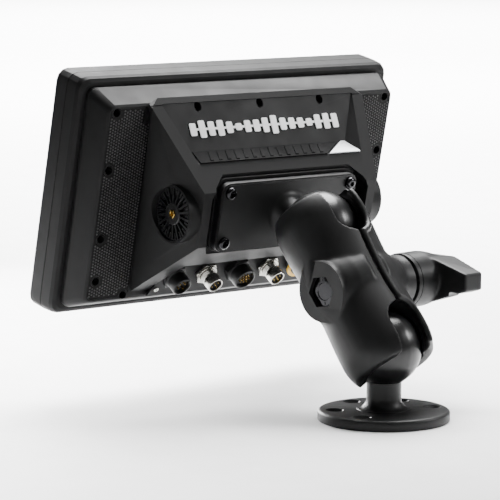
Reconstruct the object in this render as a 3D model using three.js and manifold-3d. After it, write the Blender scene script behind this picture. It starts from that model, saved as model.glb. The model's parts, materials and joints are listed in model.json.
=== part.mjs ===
// Fish finder: a 12-inch sonar display on a double-ball pedestal mount.
// Millimetres, +Z up. The origin is the centre of the base plate's underside, and the screen faces -Y.
import * as THREE from "three";
import { ConvexGeometry } from "three/addons/geometries/ConvexGeometry.js";
import { mergeVertices } from "three/addons/utils/BufferGeometryUtils.js";
import Module from "manifold-3d";

const wasm = await Module();
wasm.setup();

// ---- driving dimensions ----
const GAP = 0.3; // space between pieces that touch

const CASE = { width: 318, height: 191, corner: 9 };
const SCREEN = { x: 9, width: 284, height: 172 };
const Z = { bezelBack: 15, frameFront: 15.6, frameBack: 30, coverFront: 30.4, coverBack: 53, bulge: 109.5 };
const SCREEN_TILT = THREE.MathUtils.degToRad(12.3);

const BALL = { radius: 28.575, post: 13.2, neck: 12, spigot: 8.5 };
const BASE = { radius: 50.2, thickness: 8.4, ballHeight: 55 };
const ARM = { length: 108.5, radius: 35, waist: 31.5, cup: 29.1, endCut: 17.8 };
const FIXED = { side: 1, halfWidth: 34, baseSlot: 15, headSlot: 15, waistGap: 1.2, endDepth: 14 };
const JAW = { side: -1, halfWidth: 38, baseSlot: 14.5, headSlot: 16, waistGap: 2, endDepth: 16 };
const ARM_LEAN = THREE.MathUtils.degToRad(38.3);
const ARM_YAW = THREE.MathUtils.degToRad(4.4);
const BOSS = { fixedRadius: 22, fixedFace: 34.6, jawRadius: 20, jawFace: 50 };
const BOLT = { shank: 5, headFlats: 21.4, pocketFlats: 22.2, seat: 23.5 };
const NECK_REACH = 148; // from the screen's front face to the upper ball's centre

const HUB = { y: 0.8, z: 86, radius: 20.6, boss: 22.8, face: 98.6, teeth: 18 };
const CONNECTOR = { tilt: THREE.MathUtils.degToRad(24), y: -58.5, z: 63.6, first: -69.5, pitch: 32 };

// Upper face of the bulge and the planes of its recesses, in the display's own frame.
const upperFace = (y) => 92.5 - 0.964 * (y - 40.9);
const connectorFloor = (y) => CONNECTOR.z + Math.tan(CONNECTOR.tilt) * (y - CONNECTOR.y);

// ---- solids ----
function toSolid(geometry) {
  const bare = geometry.clone();
  bare.deleteAttribute("normal");
  bare.deleteAttribute("uv");
  const merged = mergeVertices(bare, 1e-4);
  const mesh = new wasm.Mesh({
    numProp: 3,
    vertProperties: new Float32Array(merged.attributes.position.array),
    triVerts: new Uint32Array(merged.index.array),
  });
  return new wasm.Manifold(mesh);
}

function toGeometry(solid) {
  const mesh = solid.getMesh();
  const geometry = new THREE.BufferGeometry();
  geometry.setAttribute("position", new THREE.BufferAttribute(new Float32Array(mesh.vertProperties), 3));
  geometry.setIndex(new THREE.BufferAttribute(new Uint32Array(mesh.triVerts), 1));
  const flat = geometry.toNonIndexed();
  flat.computeVertexNormals();
  return flat;
}

function cut(body, ...tools) {
  return toGeometry(tools.reduce((left, tool) => left.subtract(toSolid(tool)), toSolid(body)));
}

function join(first, ...others) {
  return toGeometry(others.reduce((sum, piece) => sum.add(toSolid(piece)), toSolid(first)));
}

function overlap(a, b) {
  return toGeometry(toSolid(a).intersect(toSolid(b)));
}

// ---- shapes ----
function moved(geometry, x, y, z) {
  return geometry.clone().translate(x, y, z);
}

function box(x0, x1, y0, y1, z0, z1) {
  const solid = new THREE.BoxGeometry(x1 - x0, y1 - y0, z1 - z0);
  return solid.translate((x0 + x1) / 2, (y0 + y1) / 2, (z0 + z1) / 2);
}

function rodZ(radius, z0, z1, sides = 16, topRadius = radius) {
  const rod = new THREE.CylinderGeometry(topRadius, radius, z1 - z0, sides).rotateX(Math.PI / 2);
  return rod.translate(0, 0, (z0 + z1) / 2);
}

function rodX(radius, x0, x1, sides = 16) {
  const rod = new THREE.CylinderGeometry(radius, radius, Math.abs(x1 - x0), sides).rotateZ(Math.PI / 2);
  return rod.translate((x0 + x1) / 2, 0, 0);
}

// A hexagonal bar along X with flats facing +Z and -Z.
function hexX(acrossFlats, x0, x1) {
  const corner = acrossFlats / Math.sqrt(3);
  const bar = new THREE.CylinderGeometry(corner, corner, x1 - x0, 6);
  return bar.rotateY(Math.PI / 6).rotateZ(Math.PI / 2).rotateX(Math.PI / 2).translate((x0 + x1) / 2, 0, 0);
}

function ring(outer, inner, z0, z1, sides = 24) {
  return cut(rodZ(outer, z0, z1, sides), rodZ(inner, z0 - 1, z1 + 1, sides));
}

// One rounded rectangle of points at height z, counter-clockwise seen from +Z.
function roundedOutline(width, height, corner, z, x = 0, y = 0) {
  const points = [];
  const centres = [[1, 1], [-1, 1], [-1, -1], [1, -1]];
  centres.forEach(([sx, sy], quarter) => {
    for (let step = 0; step <= 3; step++) {
      const angle = (quarter + step / 3) * (Math.PI / 2);
      points.push(new THREE.Vector3(
        x + sx * (width / 2 - corner) + corner * Math.cos(angle),
        y + sy * (height / 2 - corner) + corner * Math.sin(angle),
        z,
      ));
    }
  });
  return points;
}

// A closed body through outlines of equal point count, from the lowest to the highest.
function loft(outlines) {
  const count = outlines[0].length;
  const positions = [];
  const triangle = (a, b, c) => positions.push(...a.toArray(), ...b.toArray(), ...c.toArray());
  const first = outlines[0];
  const last = outlines[outlines.length - 1];
  for (let i = 1; i < count - 1; i++) {
    triangle(first[0], first[i + 1], first[i]);
    triangle(last[0], last[i], last[i + 1]);
  }
  for (let level = 0; level < outlines.length - 1; level++) {
    const low = outlines[level];
    const high = outlines[level + 1];
    for (let i = 0; i < count; i++) {
      const j = (i + 1) % count;
      triangle(low[i], low[j], high[j]);
      triangle(low[i], high[j], high[i]);
    }
  }
  const geometry = new THREE.BufferGeometry();
  geometry.setAttribute("position", new THREE.Float32BufferAttribute(positions, 3));
  geometry.computeVertexNormals();
  return geometry;
}

// The case's outline drawn in by insetX at the sides and insetY at the top and bottom.
function caseOutline(z, insetX, insetY = insetX, corner = CASE.corner) {
  return roundedOutline(CASE.width - 2 * insetX, CASE.height - 2 * insetY, corner, z);
}

function slab(width, height, corner, z0, z1, x = 0, y = 0) {
  return loft([z0, z1].map((z) => roundedOutline(width, height, corner, z, x, y)));
}

// A prism along X from a (y, z) outline.
function prismX(outline, halfWidth) {
  const shape = new THREE.Shape(outline.map(([y, z]) => new THREE.Vector2(y, z)));
  const prism = new THREE.ExtrudeGeometry(shape, { depth: 2 * halfWidth, bevelEnabled: false });
  return prism.rotateY(Math.PI / 2).rotateX(Math.PI / 2).translate(-halfWidth, 0, 0);
}

function prismZ(outline, z0, z1) {
  const shape = new THREE.Shape(outline.map(([x, y]) => new THREE.Vector2(x, y)));
  return new THREE.ExtrudeGeometry(shape, { depth: z1 - z0, bevelEnabled: false }).translate(0, 0, z0);
}

const bothSides = (points) => points.flatMap(([x, y, z]) => [[x, y, z], [-x, y, z]]);
const hull = (points) => new ConvexGeometry(points.map(([x, y, z]) => new THREE.Vector3(x, y, z)));

function ball(radius, z = 0, across = 24, down = 12) {
  return new THREE.SphereGeometry(radius, across, down).rotateX(Math.PI / 2).translate(0, 0, z);
}

function lathe(profile, sides = 32) {
  const points = profile.map(([r, z]) => new THREE.Vector2(r, z));
  return new THREE.LatheGeometry(points, sides).rotateX(Math.PI / 2);
}

// ---- scene graph ----
const group = new THREE.Group();
const head = new THREE.Group();
const arm = new THREE.Group();
group.add(head, arm);

arm.position.set(0, 0, BASE.ballHeight);
arm.rotation.set(ARM_LEAN, 0, ARM_YAW, "ZYX");
arm.updateMatrixWorld(true);

// The display's frame: X to the right seen from behind, Y up the case, Z out of its back.
const headX = new THREE.Vector3(-1, 0, 0);
const headY = new THREE.Vector3(0, Math.sin(SCREEN_TILT), Math.cos(SCREEN_TILT));
const headZ = new THREE.Vector3(0, Math.cos(SCREEN_TILT), -Math.sin(SCREEN_TILT));
const PLATE_Y = 1.3; // the ball mount sits just above the case's middle
const upperBall = arm.localToWorld(new THREE.Vector3(0, 0, ARM.length));
head.quaternion.setFromRotationMatrix(new THREE.Matrix4().makeBasis(headX, headY, headZ));
head.position.copy(upperBall).addScaledVector(headZ, -NECK_REACH).addScaledVector(headY, -PLATE_Y);

const FINISH = {
  plastic: { color: 0x1c1d1e, roughness: 0.55, metalness: 0 },
  coated: { color: 0x232425, roughness: 0.5, metalness: 0.2 },
  rubber: { color: 0x141414, roughness: 0.7, metalness: 0 },
  glass: { color: 0x08090a, roughness: 0.08, metalness: 0 },
  metal: { color: 0xb9bbbd, roughness: 0.3, metalness: 1 },
  steel: { color: 0x2a2a2b, roughness: 0.25, metalness: 0.9 },
  brass: { color: 0xb08a3e, roughness: 0.3, metalness: 1 },
  board: { color: 0x1e5a34, roughness: 0.6, metalness: 0 },
  white: { color: 0xe6e6e4, roughness: 0.5, metalness: 0 },
  yellow: { color: 0xc9a227, roughness: 0.5, metalness: 0 },
};

function add(parent, name, geometry, finish, place = () => {}) {
  const mesh = new THREE.Mesh(geometry, new THREE.MeshStandardMaterial(FINISH[finish]));
  mesh.name = name;
  place(mesh);
  parent.add(mesh);
}

// ---- display case ----
const COLUMN_X = -145.5; // key column beside the screen
const DOOR = { y: -24, width: 14, height: 52, thickness: 2.2 };
const KEY = { y: -70, radius: 6.2 };
const LINE = { opening: [296, 169], flangeOpening: [258, 130] };

function frontBezel() {
  const outer = loft([caseOutline(0, 1.4, 1.4, 8), caseOutline(1.4, 0), caseOutline(Z.bezelBack, 0)]);
  return cut(
    outer,
    slab(SCREEN.width + 2 * GAP, SCREEN.height + 2 * GAP, 5, -1, 2.7, SCREEN.x),
    slab(264, 162, 3, -1, 16, SCREEN.x),
    slab(270, 173, 4, 5, 16, SCREEN.x),
    moved(box(-7.4, 7.4, -26.4, 26.4, -1, 2.8), COLUMN_X, DOOR.y, 0),
    moved(box(-6.4, 6.4, -22, 22, 2, 16), COLUMN_X, DOOR.y, 0),
    moved(rodZ(KEY.radius + GAP, -1, 5.2, 20), COLUMN_X, KEY.y, 0),
  );
}

function cardReader() {
  const body = box(-6, 6, -21.6, 21.6, 3.2, 14.4);
  const slots = [-10.5, 10.5].map((y) => box(-1.2, 1.2, y - 8, y + 8, 3, 11));
  return moved(cut(body, ...slots), COLUMN_X, DOOR.y, 0);
}

function circuitBoard(width, height, z, chips) {
  const top = z + 1.6;
  const board = box(-width / 2, width / 2, -height / 2, height / 2, z, top);
  const blocks = chips.map(([x, y, w, h, tall]) => (
    box(x - w / 2, x + w / 2, y - h / 2, y + h / 2, top - 0.6, top + tall)
  ));
  return join(board, ...blocks);
}

const sideScrews = [[137.4, 73.4], [138.2, 27.9], [137.2, -27.2], [136.8, -61.3], [108.5, -74.8]];
const coverScrews = [
  ...sideScrews.flatMap(([x, y]) => [[x, y], [-x, y]]),
  ...[62.5, 0, -62.5].map((x) => [x, 75.8]),
];
const SCREW = { headTop: 49, headBottom: 46.2, end: 26, recess: 3.5 };

function midFrame() {
  const outer = loft([
    caseOutline(Z.frameFront, 0),
    caseOutline(25.5, 0.6),
    caseOutline(28.4, 1.8),
    caseOutline(Z.frameBack, 4.4),
  ]);
  const screwHoles = coverScrews.map(([x, y]) => moved(rodZ(1.9, 20, 31, 8), x, y, 0));
  return cut(
    outer,
    slab(...LINE.opening, 5, 15, 24),
    slab(...LINE.flangeOpening, 8, 23, 31),
    slab(CASE.width - 4.6, CASE.height - 4.6, 8, 15, 17.4),
    ...screwHoles,
  );
}

function housingSeal() {
  const outer = slab(CASE.width - 5.4, CASE.height - 5.4, 8, 15.3, 17.1);
  return cut(outer, slab(302, 175, 6, 15, 18));
}

// Outline of the connector recess, widening towards the bottom edge of the case.
const recessSide = (y) => 76 + (-44 - y) * 0.33;

function connectorRecess() {
  const rows = [-44, -94];
  return hull(rows.flatMap((y) => bothSides([
    [recessSide(y), y, connectorFloor(y) - 2.6],
    [recessSide(y), y, 140],
  ])));
}

function titleRecess() {
  const lift = 30;
  const rim = [[97.6, 78.6, 56.4], [85.6, 47.6, 86.1], [83.4, 41.2, 92.3]];
  const raised = rim.map(([x, y, z]) => [x, y + 0.694 * lift, z + 0.72 * lift]);
  return hull(bothSides([[97.6, 78.6, 54.9], [78.8, 45.3, 76.5], ...rim, ...raised]));
}

// A fine groove along the top edge of the bulge, outside the title recess.
function topGroove() {
  const ends = [1, -1].map((side) => moved(box(-12, 12, -0.4, 0.4, -1.6, 6), side * 109, 0, 0));
  const groove = join(box(-121, 121, -0.4, 0.4, 5, 6), ...ends);
  return moved(groove.rotateX(-Math.atan2(0.694, 0.72)), 0, 78.3, upperFace(78.3));
}

const MOUNT_RECESS = [[64.5, 34], [75.5, 26], [80, 18], [80, -20], [76, -24], [69.5, -30]];

function rearCover() {
  const shell = loft([
    caseOutline(Z.coverFront, 7.8, 7.8, 7), caseOutline(33.9, 7.7, 7.7, 7),
    caseOutline(51.6, 13.2, 16.2, 6), caseOutline(Z.coverBack, 14.6, 17.8, 5),
  ]);
  const bulge = hull(bothSides([
    [99.3, 82.9, 51.4], [107.5, 79, 52.8], [108.3, 77.2, 57.5], [98, 79.2, upperFace(79.2)],
    [88.5, 23.3, Z.bulge], [87.5, -20, Z.bulge], [101.3, -72.8, 52.6], [99, -84, 41], [101.4, 70, 45],
  ]));
  const hubEnds = [1, -1].map((side) => rodX(HUB.boss, side * 80, side * HUB.face, 32));
  const hubBosses = join(box(-81, 81, -5, 5, -5, 5), ...hubEnds);
  const bosses = coverScrews.map(([x, y]) => moved(rodZ(5.4, 20, 60, 8), x, y, 0));
  const cavity = cut(
    loft([caseOutline(20, 11, 11, 5), caseOutline(34, 11, 11, 5), caseOutline(50, 16.6, 20.4, 4)]),
    ...bosses,
  );
  const bulgeInside = [[70, 45], [70, 52], [45, 71], [37, 94], [-27, 94], [-42, 64], [-70, 50], [-70, 45]];
  const outline = [...MOUNT_RECESS, ...MOUNT_RECESS.map(([x, y]) => [-x, y]).reverse()];
  const recess = rodZ(SCREW.recess, SCREW.headBottom - 0.3, 90, 10);
  const recessed = coverScrews.map(([x, y]) => moved(recess, x, y, 0));
  const shanks = coverScrews.map(([x, y]) => moved(rodZ(1.9, 20, 50, 8), x, y, 0));
  return cut(
    join(shell, bulge, moved(hubBosses, 0, HUB.y, HUB.z)),
    cavity, prismX(bulgeInside, 80), titleRecess(), topGroove(), connectorRecess(),
    prismZ(outline, 98, 140),
    ...[1, -1].map((side) => moved(rodX(HUB.radius + 0.4, side * 91, side * 110, 32), 0, HUB.y, HUB.z)),
    ...[1, -1].map((side) => grillePocket(side)),
    ...connectorAt.map((place) => placed(rodZ(6.6, -30, 10, 12), place)),
    ...panelScrewAt.map((place) => placed(rodZ(1.5, -6, 1, 8), place)),
    ...adapterScrewAt.map(([x, y]) => moved(rodZ(3, 85, 100, 8), x, y, 0)),
    ...recessed, ...shanks,
  );
}

// ---- trim on the back ----
const GRILLE = { inner: 104, outer: 143.4, top: 76, bottom: -75.5, floor: 51.4, face: 52.8 };

function grilleOutline(side, clearance) {
  const width = GRILLE.outer - GRILLE.inner + 2 * clearance;
  const height = GRILLE.top - GRILLE.bottom + 2 * clearance;
  const x = (side * (GRILLE.outer + GRILLE.inner)) / 2;
  return { width, height, x, y: (GRILLE.top + GRILLE.bottom) / 2 };
}

function screwLands(clearance) {
  return coverScrews.map(([x, y]) => moved(rodZ(4.6 + clearance, 40, 70, 12), x, y, 0));
}

// The grille stays clear of the bulge's upper corner and of the screw lands.
function grillePocket(side) {
  const { width, height, x, y } = grilleOutline(side, GAP);
  const pocket = slab(width, height, 4, GRILLE.floor - GAP, 56, x, y);
  const bulgeCorner = box(-110, 110, 64, 90, 40, 70);
  return cut(pocket, ...screwLands(-GAP), bulgeCorner, box(-103.6, 103.6, -90, 90, 40, 70));
}

function grillePanel(side) {
  const { width, height, x, y } = grilleOutline(side, 0);
  const panel = slab(width, height, 4, GRILLE.floor, GRILLE.face, x, y);
  return cut(panel, ...screwLands(0), box(-110.3, 110.3, 63.7, 90, 40, 70));
}

// A row of bars of varying height on one rail, like an echo trace on a sonar screen.
const EMBLEM = { bars: 17, pitch: 9.1, bar: 6, rail: 1.6, tall: 15, thickness: 0.7 };

function emblem() {
  const reach = ((EMBLEM.bars - 1) * EMBLEM.pitch) / 2;
  const rail = box(-reach, reach, -EMBLEM.rail / 2, EMBLEM.rail / 2, 0, EMBLEM.thickness);
  const bars = Array.from({ length: EMBLEM.bars }, (_, index) => {
    const x = index * EMBLEM.pitch - reach;
    const swing = 0.5 + 0.32 * Math.sin(index * 0.9) + 0.18 * Math.sin(index * 2.3);
    const half = (EMBLEM.tall * (0.35 + 0.65 * swing)) / 2;
    return box(x - EMBLEM.bar / 2, x + EMBLEM.bar / 2, -half, half, 0, EMBLEM.thickness);
  });
  return join(rail, ...bars);
}

// A mesh whose own plane is spanned by X and a (y, z) direction up the sloping face.
function onSlope(y, z, upY, upZ, lift) {
  const up = new THREE.Vector3(0, upY, upZ).normalize();
  const across = new THREE.Vector3(1, 0, 0);
  const out = new THREE.Vector3().crossVectors(across, up);
  return (mesh) => {
    mesh.quaternion.setFromRotationMatrix(new THREE.Matrix4().makeBasis(across, up, out));
    mesh.position.set(0, y, z).addScaledVector(out, lift);
  };
}

// The return slope below the title recess: slanted ribs on a thin backing.
const STRIP = { half: 8.1, left: -79, right: 47, thickness: 0.8, rib: 1.4 };

function ribStrip() {
  const { left, right, half } = STRIP;
  const outline = [[left, half], [left - 3, -half], [right, -half], [right + 24, half]];
  const ribs = Array.from({ length: 14 }, (_, index) => {
    const x = left + 8 + index * 8.6;
    const slanted = [[x, 2 - half], [x + 3.2, 2 - half], [x + 9.2, half - 2], [x + 6, half - 2]];
    return prismZ(slanted, 0.2, STRIP.rib);
  });
  return join(prismZ(outline, 0, STRIP.thickness), ...ribs);
}

function accentFacet() {
  const { right, half } = STRIP;
  return prismZ([[right + 2.4, -half], [82, -half], [77.4, half], [right + 26.4, half]], 0, 0.9);
}

function ratchetHub(side) {
  const disc = rodX(HUB.radius, side * 91.3, side * 94.6, 32);
  const centre = rodX(8.5, side * 94, side * 98, 20);
  const teeth = Array.from({ length: HUB.teeth }, (_, index) => {
    const tooth = box(-1.7, 1.7, -0.9, 0.9, 10.2, 19.6).rotateX((index / HUB.teeth) * 2 * Math.PI);
    return tooth.translate(side * 95.9, 0, 0);
  });
  const bore = rodX(3.5, side * 90, side * 100, 12);
  return moved(cut(join(disc, centre, ...teeth), bore), 0, HUB.y, HUB.z);
}

function hubInsert(side) {
  const sleeve = cut(rodX(3.2, side * 91.4, side * 98.6, 12), rodX(1.7, side * 93, side * 99, 8));
  return moved(sleeve, 0, HUB.y, HUB.z);
}

// ---- connectors ----
const connectorAt = Array.from({ length: 5 }, (_, index) => ({
  x: CONNECTOR.first + index * CONNECTOR.pitch,
  y: CONNECTOR.y,
  z: CONNECTOR.z,
}));

const panelScrewAt = [-80.5, 80.5].map((x) => ({ x, y: -71, z: connectorFloor(-71) }));

function placed(geometry, { x, y, z }) {
  return geometry.clone().rotateX(CONNECTOR.tilt).translate(x, y, z);
}

function connectorPanel() {
  const corners = [-44.6, -77].flatMap((y) => bothSides([
    [recessSide(y) - GAP, y, connectorFloor(y)],
    [recessSide(y) - GAP, y, connectorFloor(y) - 2.2],
  ]));
  return cut(
    hull(corners),
    ...connectorAt.map((place) => placed(rodZ(8.3, -10, 10, 16), place)),
    ...panelScrewAt.map((place) => placed(rodZ(1.5, -6, 6, 8), place)),
  );
}

function panelScrew() {
  return cut(join(rodZ(2.1, 0.3, 1.5, 12, 1.6), rodZ(1.1, -5, 0.5, 8)), rodZ(0.8, 0.9, 2, 6));
}

// A round shell with a contact face sunk into its end, a hexagonal collar, and a tail through the cover.
const SOCKET_DEPTH = 3.6;

function socket(radius, length, collar, collarLength) {
  const tail = rodZ(5.9, -8, 1, 12);
  const flange = rodZ(8, -1.6, 1.4, 16);
  const nut = rodZ(collar, 0.4, collarLength, 6);
  const shell = join(tail, flange, nut, rodZ(radius, 1, length, 18));
  return cut(shell, rodZ(radius - 1.3, length - SOCKET_DEPTH, length + 1, 18));
}

const CONNECTORS = [
  ["power_connector", "plastic", socket(8.2, 14.5, 11, 4)],
  ["network_connector_a", "metal", socket(6.6, 17, 10.2, 4.4)],
  ["transducer_connector", "plastic", socket(9.4, 14.5, 11.6, 4)],
  ["network_connector_b", "metal", socket(6.6, 17, 10.2, 4.4)],
  ["sensor_connector", "plastic", socket(8.2, 13.5, 11, 3)],
];

// ---- mounting plate on the display ----
const adapterScrewAt = [[61.3, 21.3], [-61.3, 21.3], [61.3, -18.7], [-61.3, -18.7]];

function mountGasket() {
  const holes = adapterScrewAt.map(([x, y]) => moved(rodZ(3, 90, 110, 8), x, y, 0));
  return cut(slab(142, 59, 9, 98.3, 101.2, 0, PLATE_Y + 0.6), ...holes);
}

function adapterPlate() {
  const plate = loft([
    roundedOutline(138, 55, 8, 101.5, 0, PLATE_Y), roundedOutline(138, 55, 8, 106.2, 0, PLATE_Y),
    roundedOutline(136, 53, 7, 107.6, 0, PLATE_Y),
  ]);
  const neckProfile = [
    [0, 105], [20.3, 105], [20, 108.2], [17.2, 110], [14.6, 112.4], [12.8, 115.4], [BALL.neck, 118.5],
    [BALL.neck, NECK_REACH - 25.6], [BALL.spigot, NECK_REACH - 25.6],
    [BALL.spigot, NECK_REACH - 8], [0, NECK_REACH - 8],
  ];
  return cut(
    join(plate, moved(lathe(neckProfile, 24), 0, PLATE_Y, 0)),
    ...adapterScrewAt.map(([x, y]) => moved(rodZ(3, 100, 109, 10), x, y, 0)),
  );
}

function adapterScrew(x, y) {
  const head = rodZ(4.9, 107.9, 111, 16, 3.6);
  const screw = join(head, rodZ(2.6, 88, 108.2, 8));
  return moved(cut(screw, rodZ(1.9, 109.2, 112, 6)), x, y, 0);
}

// A rubber-covered ball with a blind hole for the neck's spigot, the hole facing -Z.
function mountBall() {
  const hole = rodZ(BALL.spigot + GAP, -40, -7.6, 20);
  const seat = rodZ(BALL.post + 1, -40, -25.2, 24);
  return cut(ball(BALL.radius), hole, seat);
}

// ---- pedestal ----
const BASE_HOLES = [22, 154, -32, -152, -92];

function basePlate() {
  const top = BASE.thickness;
  const shoulder = BASE.ballHeight - 25.6;
  const tip = BASE.ballHeight - 8;
  const profile = [
    [0, 0], [BASE.radius - 1, 0], [BASE.radius, 1], [BASE.radius, top - 2.2],
    [BASE.radius - 0.8, top - 0.6], [BASE.radius - 2.4, top], [20.5, top],
    [20, top + 1.2], [16.5, top + 3], [14.4, top + 6], [BALL.post, top + 10],
    [BALL.post, shoulder], [BALL.spigot, shoulder], [BALL.spigot, tip], [0, tip],
  ];
  const holes = BASE_HOLES.map((degrees) => {
    const angle = THREE.MathUtils.degToRad(degrees);
    const drill = join(rodZ(3.3, -1, top + 1, 10), rodZ(2.4, top - 3.4, top + 0.4, 10, 6.6));
    return moved(drill, 38 * Math.cos(angle), 38 * Math.sin(angle), 0);
  });
  return cut(lathe(profile, 36), ...holes);
}

// The arm's outer form before it is split: a round bar with a ball housing at each end.
// It narrows across the slot towards its waist, and each half has its own reach along the bolt.
function armBody(halfWidth) {
  const endAngle = Math.asin(ARM.endCut / ARM.radius);
  const lower = Array.from({ length: 5 }, (_, step) => {
    const angle = -endAngle * (1 - step / 4);
    return [ARM.radius * Math.cos(angle), ARM.radius * Math.sin(angle)];
  });
  const along = Array.from({ length: 7 }, (_, step) => [ARM.radius, ((step + 1) / 8) * ARM.length]);
  const upper = lower.map(([r, z]) => [r, ARM.length - z]).reverse();
  const body = lathe([[0, -ARM.endCut], ...lower, ...along, ...upper, [0, ARM.length + ARM.endCut]], 32);
  const position = body.attributes.position;
  for (let index = 0; index < position.count; index++) {
    const share = THREE.MathUtils.clamp(position.getZ(index) / ARM.length, 0, 1);
    const pinch = 1 - (1 - ARM.waist / ARM.radius) * Math.sin(Math.PI * share) ** 2;
    position.setX(index, (position.getX(index) * halfWidth) / ARM.radius);
    position.setY(index, position.getY(index) * pinch);
  }
  return body;
}

// The gap beside one half: wide round each ball, closing in a quarter ellipse to a slit at the waist.
const SLOT_START = 8;

function slotFlank(slot, { waistGap, endDepth }) {
  const flank = [[slot, -60], [slot, SLOT_START]];
  for (let step = 1; step <= 6; step++) {
    const angle = (step / 6) * (Math.PI / 2);
    const width = waistGap + (slot - waistGap) * Math.cos(angle);
    flank.push([width, SLOT_START + endDepth * Math.sin(angle)]);
  }
  return flank;
}

function splitOutline(form) {
  const base = slotFlank(form.baseSlot, form);
  const head = slotFlank(form.headSlot, form).map(([x, z]) => [x, ARM.length - z]).reverse();
  const right = [...base, ...head];
  return [...right, ...right.map(([x, z]) => [-x, z]).reverse()];
}

function fixedBoss() {
  return rodX(BOSS.fixedRadius, 0, BOSS.fixedFace, 32);
}

function jawBoss() {
  const cone = new THREE.CylinderGeometry(BOSS.jawRadius, BOSS.jawRadius + 12, 30, 32).rotateZ(Math.PI / 2);
  return join(cone.translate(-30, 0, 0), rodX(BOSS.jawRadius, -BOSS.jawFace, 0, 32));
}

function armHalf(form, boss) {
  const { side, halfWidth } = form;
  const halfSpace = moved(box(-40, 40, -60, 60, -60, 180), side * 40, 0, 0);
  const middle = (tool) => moved(tool, 0, 0, ARM.length / 2);
  return cut(
    overlap(join(armBody(halfWidth), middle(boss)), halfSpace),
    prismZ(splitOutline(form), -50, 50).rotateX(Math.PI / 2),
    ball(ARM.cup), ball(ARM.cup, ARM.length),
    middle(rodX(BOLT.shank + 0.6, -80, 80, 16)),
    middle(rodX(10, 0, side * 12, 20)),
    middle(hexX(BOLT.pocketFlats, BOLT.seat, 45)),
  );
}

function clampBolt() {
  const head = hexX(BOLT.headFlats, BOLT.seat + 0.5, BOLT.seat + 7.7);
  return join(head, rodX(BOLT.shank, -88, BOLT.seat + 1, 16));
}

// Keeps the halves apart when the knob is loosened.
class HelixCurve extends THREE.Curve {
  getPoint(t, target = new THREE.Vector3()) {
    const angle = t * 4 * 2 * Math.PI;
    return target.set(-9.5 + 19 * t, 7.6 * Math.cos(angle), 7.6 * Math.sin(angle));
  }
}

function armSpring() {
  const section = new THREE.Shape();
  section.absarc(0, 0, 1, 0, 2 * Math.PI);
  const options = { steps: 44, curveSegments: 3, bevelEnabled: false, extrudePath: new HelixCurve() };
  return new THREE.ExtrudeGeometry(section, options);
}

function knobWasher() {
  return cut(rodX(17, -52.4, -50.3, 28), rodX(BOLT.shank + 0.6, -60, -40, 16));
}

const KNOB = { start: 52.7, hubEnd: 76, end: 104, span: 44, radius: 21 };

// Each wing is scooped on one face, so the knob looks the same after half a turn.
function knobBody() {
  const wing = [[-81, 6, KNOB.span], [-99, 6, KNOB.span]];
  const root = [[-75, 17, 13], [-KNOB.end, 15, 12]];
  const corners = [...wing, ...root].flatMap(([x, z, y]) => (
    [[x, y, z], [x, -y, z], [x, y, -z], [x, -y, -z]]
  ));
  const collar = rodX(KNOB.radius, -KNOB.hubEnd, -KNOB.start, 32);
  const shoulder = new THREE.CylinderGeometry(KNOB.radius, 15, 22, 32);
  shoulder.rotateZ(-Math.PI / 2).translate(-87, 0, 0);
  const scoop = rodX(19, -KNOB.end - 1, 0.5 - KNOB.hubEnd, 24);
  const scoops = [1, -1].map((side) => moved(scoop, 0, side * 31, side * -27.5));
  return cut(join(collar, shoulder, hull(corners)), ...scoops, rodX(BOLT.shank + GAP, -92, -40, 16));
}

// ---- build the display ----
add(head, "front_bezel", frontBezel(), "plastic");
add(head, "cover_glass", slab(SCREEN.width, SCREEN.height, 5, 0.6, 2.4, SCREEN.x), "glass");
add(head, "lcd_module", slab(268, 166, 2, 5.3, 11.5, SCREEN.x, 0), "plastic");
add(head, "heat_spreader", slab(250, 124, 3, 18, 20), "metal");
const mainChips = [[-60, 10, 30, 30, 3], [20, 20, 18, 14, 2], [60, -24, 24, 20, 4]];
add(head, "main_board", circuitBoard(220, 110, 24, mainChips), "board");
const sonarChips = [[-30, 5, 24, 24, 3], [30, -10, 30, 16, 6]];
add(head, "sonar_board", circuitBoard(130, 70, 40, sonarChips), "board");
add(head, "gps_antenna", slab(25, 25, 2, 58, 64, 0, 30), "white");
add(head, "buzzer", moved(rodZ(11, 52, 60, 20), -50, -20, 0), "plastic");
add(head, "card_reader", cardReader(), "steel");
const cardDoor = box(-DOOR.width / 2, DOOR.width / 2, -DOOR.height / 2, DOOR.height / 2, 0, DOOR.thickness);
add(head, "card_door", moved(cardDoor, COLUMN_X, DOOR.y, 0.2), "rubber");
add(head, "power_button", moved(rodZ(KEY.radius, 0.3, 4, 20), COLUMN_X, KEY.y, 0), "rubber");
add(head, "housing_seal", housingSeal(), "rubber");
add(head, "mid_frame", midFrame(), "plastic");
add(head, "rear_cover", rearCover(), "plastic");
coverScrews.forEach(([x, y], index) => {
  const screwHead = rodZ(2.9, SCREW.headBottom, SCREW.headTop, 10);
  const screw = join(screwHead, rodZ(1.5, SCREW.end, SCREW.headBottom + 0.3, 8));
  const socketed = cut(screw, rodZ(1.2, SCREW.headTop - 1.2, 52, 6));
  add(head, `cover_screw_${index + 1}`, moved(socketed, x, y, 0), "steel");
});
[["left", -1], ["right", 1]].forEach(([name, side]) => {
  add(head, `grille_panel_${name}`, grillePanel(side), "plastic");
  add(head, `ratchet_hub_${name}`, ratchetHub(side), "plastic");
  add(head, `hub_insert_${name}`, hubInsert(side), "brass");
});
add(head, "title_emblem", emblem(), "white", onSlope(60.4, 66.6, 30.8, -20.2, 0.35));
add(head, "rib_strip", ribStrip(), "plastic", onSlope(43.25, 84.5, 4.1, -16.5, 0.35));
add(head, "accent_facet", accentFacet(), "metal", onSlope(43.25, 84.5, 4.1, -16.5, 0.35));
add(head, "connector_panel", connectorPanel(), "plastic");
panelScrewAt.forEach((place, index) => {
  add(head, `panel_screw_${index + 1}`, placed(panelScrew(), place), "metal");
});
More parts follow.
